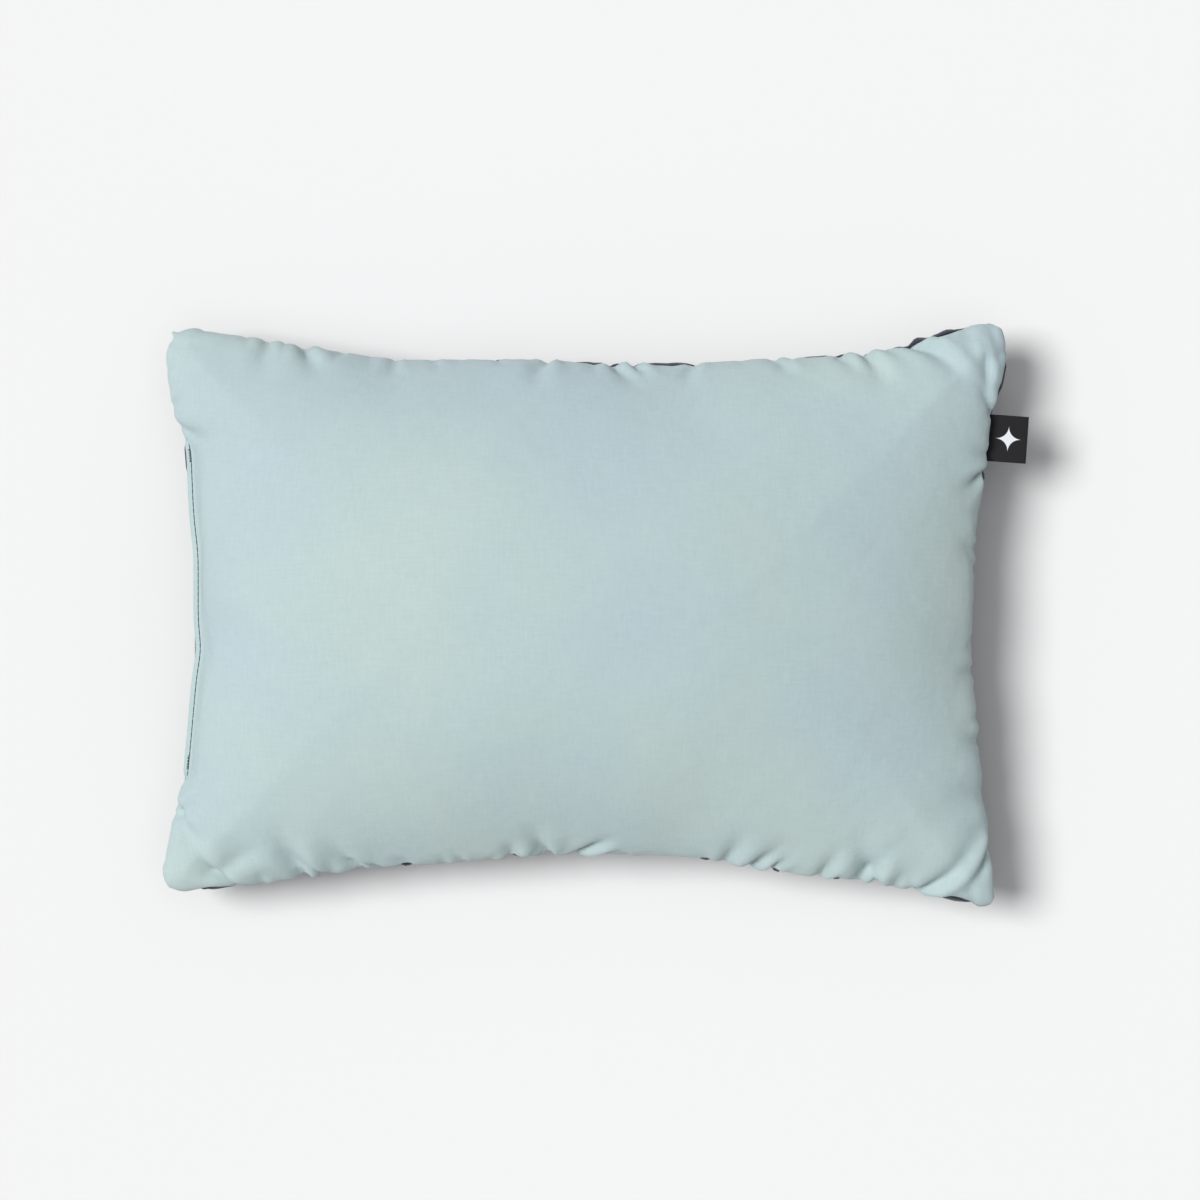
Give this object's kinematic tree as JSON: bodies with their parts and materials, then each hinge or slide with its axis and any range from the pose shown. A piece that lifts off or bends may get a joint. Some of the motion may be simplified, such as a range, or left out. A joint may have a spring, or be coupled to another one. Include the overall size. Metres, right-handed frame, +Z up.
{
  "type": "camp pillow",
  "caption": "Compact rectangular camp pillow in two fabric colours, soft fibre filling, with a zipped stow pocket in one end and a folded woven label in the other.",
  "frame": {"origin": "middle of the flat patch under the back panel that the pillow rests on", "axes": "+X along the pillow's length away from the zipped end, +Y along its width, +Z up out of the front panel"},
  "size_m": [0.4093, 0.2717, 0.1022],
  "materials": {
    "front_fabric": "brushed polyester, pale aqua, matt with a fine pile",
    "back_fabric": "brushed polyester, dark navy, matt with a fine pile",
    "filling_fibre": "off-white hollow polyester fibre batt",
    "pocket_fabric": "plain-woven nylon lining, dark navy, slight sheen",
    "zip_tape": "woven polyester tape, dark navy, matt",
    "zip_coil": "extruded polyester coil, dark navy, satin",
    "slider_metal": "die-cast zinc, black paint, satin",
    "label_weave": "dense damask woven label, near black with a pale star",
    "thread_dark": "twisted polyester sewing thread, dark slate",
    "thread_light": "textured polyester overlock thread, off-white",
    "care_label_satin": "printed satin ribbon left blank, white"
  },
  "bodies": {
    "pillow": {"front_panel": "front_fabric", "back_panel": "back_fabric", "fibre_filling": "filling_fibre", "stow_pocket": "pocket_fabric", "care_label": "care_label_satin", "seam_overlock_thread": "thread_light", "zip_tape_front": "zip_tape", "zip_tape_back": "zip_tape", "zip_coil_front": "zip_coil", "zip_coil_back": "zip_coil", "zip_top_stop_front": "zip_coil", "zip_top_stop_back": "zip_coil", "zip_bottom_stop": "zip_coil", "edge_stitching_front": "thread_dark", "edge_stitching_back": "thread_dark", "bartack_top": "thread_dark", "bartack_bottom": "thread_dark"},
    "zip_slider": {"zip_slider": "slider_metal"},
    "zip_pull": {"zip_pull_tab": "slider_metal"},
    "side_label": {"side_label": "label_weave"}
  },
  "joints": [
    {"name": "slider_travel", "type": "slide", "parent": "pillow", "child": "zip_slider", "axis": [0, -1, 0], "range_m": [0, 0.131], "deforming": ["zip_coil_front", "zip_coil_back"]},
    {"name": "pull_swing", "type": "hinge", "parent": "zip_slider", "child": "zip_pull", "pos_m": [-0.1848, 0.06945, 0.045], "axis": [0, 0, -1], "range_deg": [0, 120]},
    {"name": "label_flap", "type": "hinge", "parent": "pillow", "child": "side_label", "pos_m": [0.1913, 0.0805, 0.045], "axis": [0.0698, 0.9976, 0], "range_deg": [-70, 70], "stiffness_Nm_per_rad": 0.002}
  ]
}
